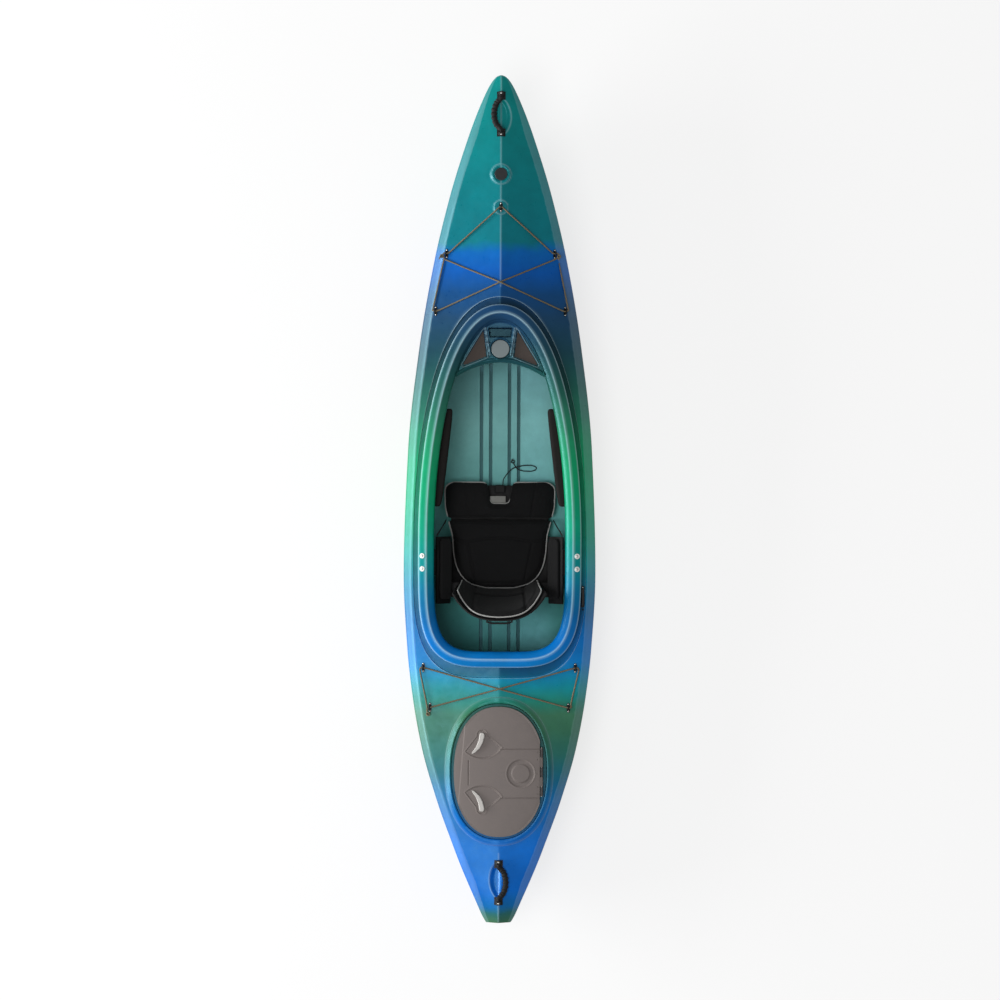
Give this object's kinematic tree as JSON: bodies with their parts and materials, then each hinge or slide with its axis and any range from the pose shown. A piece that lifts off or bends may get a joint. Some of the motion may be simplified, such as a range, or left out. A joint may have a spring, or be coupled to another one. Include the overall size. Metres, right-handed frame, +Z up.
{
  "type": "recreational kayak",
  "caption": "Sit-in recreational kayak with a long cockpit, padded seat with tilting back, hinged stern hatch, bungee rigging, carry handles and a drop-down skeg.",
  "frame": {"origin": "on the ground under the middle of the hull's length and beam", "axes": "+Y towards the bow, +X to starboard, +Z up"},
  "size_m": [0.7298, 3.2, 0.3909],
  "materials": {
    "hull_plastic": "satin, textured",
    "black_nylon": "satin",
    "shock_cord": "woven",
    "hatch_plastic": "matte",
    "latch_plastic": "satin",
    "soft_rubber": "matte",
    "foam": "matte",
    "seat_fabric": "woven",
    "webbing": "woven",
    "stainless_steel": "brushed",
    "tray_pad": "matte",
    "roundel_plastic": "gloss"
  },
  "bodies": {
    "kayak": {"hull": "hull_plastic", "rear_bulkhead": "foam", "bow_foam_block": "foam", "skeg_box": "black_nylon", "skeg_pin": "stainless_steel", "skeg_line": "webbing", "skeg_cleat": "black_nylon", "bow_handle_bracket_fore": "black_nylon", "bow_handle_bracket_aft": "black_nylon", "stern_handle_bracket_fore": "black_nylon", "stern_handle_bracket_aft": "black_nylon", "deck_roundel": "roundel_plastic", "bow_pad_eye_centre": "black_nylon", "bow_pad_eye_fore_port": "black_nylon", "bow_pad_eye_aft_port": "black_nylon", "stern_pad_eye_fore_port": "black_nylon", "stern_pad_eye_aft_port": "black_nylon", "bow_pad_eye_fore_starboard": "black_nylon", "bow_pad_eye_aft_starboard": "black_nylon", "stern_pad_eye_fore_starboard": "black_nylon", "stern_pad_eye_aft_starboard": "black_nylon", "bow_bungee": "shock_cord", "stern_bungee": "shock_cord", "hatch_rim": "hatch_plastic", "hatch_gasket": "soft_rubber", "hatch_hinge_rod": "stainless_steel", "seat_pan": "black_nylon", "seat_cushion": "seat_fabric", "seat_pull_cord": "webbing", "dash_puck": "hatch_plastic", "seat_side_plate_port": "black_nylon", "hip_pad_port": "foam", "seat_strap_port": "webbing", "thigh_pad_port": "foam", "foot_rail_port": "black_nylon", "tray_pad_port": "tray_pad", "seat_screw_fore_port": "stainless_steel", "seat_screw_aft_port": "stainless_steel", "seat_side_plate_starboard": "black_nylon", "hip_pad_starboard": "foam", "seat_strap_starboard": "webbing", "thigh_pad_starboard": "foam", "foot_rail_starboard": "black_nylon", "tray_pad_starboard": "tray_pad", "seat_screw_fore_starboard": "stainless_steel", "seat_screw_aft_starboard": "stainless_steel"},
    "bow_handle": {"bow_handle_grip": "black_nylon"},
    "stern_handle": {"stern_handle_grip": "black_nylon"},
    "hatch": {"hatch_cover": "hatch_plastic"},
    "latch_fore": {"hatch_latch_fore": "latch_plastic"},
    "latch_aft": {"hatch_latch_aft": "latch_plastic"},
    "seat_back": {"seat_back_frame": "black_nylon", "seat_back_pad": "seat_fabric"},
    "leg_lifter": {"leg_lifter": "black_nylon", "seat_front_cushion": "seat_fabric", "seat_buckle": "black_nylon"},
    "pedal_port": {"foot_pedal_port": "black_nylon"},
    "pedal_starboard": {"foot_pedal_starboard": "black_nylon"},
    "skeg": {"skeg_blade": "black_nylon"}
  },
  "joints": [
    {"name": "bow_handle_swing", "type": "hinge", "parent": "kayak", "child": "bow_handle", "pos_m": [0, 1.452, 0.36362], "axis": [0, 0.9996, -0.0278], "range_deg": [0, 220]},
    {"name": "stern_handle_swing", "type": "hinge", "parent": "kayak", "child": "stern_handle", "pos_m": [0, -1.447, 0.29904], "axis": [0, -0.9997, 0.0229], "range_deg": [0, 203]},
    {"name": "hatch_open", "type": "hinge", "parent": "kayak", "child": "hatch", "pos_m": [0.161, -1.027, 0.3015], "axis": [0, 1, 0], "range_deg": [0, 110]},
    {"name": "hatch_latch_fore_turn", "type": "hinge", "parent": "hatch", "child": "latch_fore", "pos_m": [-0.064, -0.887, 0.3129], "axis": [0, 0, 1], "range_deg": [0, 68]},
    {"name": "hatch_latch_aft_turn", "type": "hinge", "parent": "hatch", "child": "latch_aft", "pos_m": [-0.064, -1.167, 0.3129], "axis": [0, 0, -1], "range_deg": [0, 68]},
    {"name": "seat_back_tilt", "type": "hinge", "parent": "kayak", "child": "seat_back", "pos_m": [0, -0.362, 0.15], "axis": [-1, 0, 0], "range_deg": [-12, 70]},
    {"name": "leg_lifter_tilt", "type": "hinge", "parent": "kayak", "child": "leg_lifter", "pos_m": [0, -0.073, 0.0584], "axis": [1, 0, 0], "range_deg": [0, 14]},
    {"name": "foot_pedal_port_slide", "type": "slide", "parent": "kayak", "child": "pedal_port", "axis": [0.1975, 0.9803, 0], "range_m": [-0.12, 0.12]},
    {"name": "foot_pedal_starboard_slide", "type": "slide", "parent": "kayak", "child": "pedal_starboard", "axis": [-0.1975, 0.9803, 0], "range_m": [-0.12, 0.12]},
    {"name": "skeg_drop", "type": "hinge", "parent": "kayak", "child": "skeg", "pos_m": [0, -1.18, 0.04], "axis": [1, 0, 0], "range_deg": [0, 55]}
  ]
}
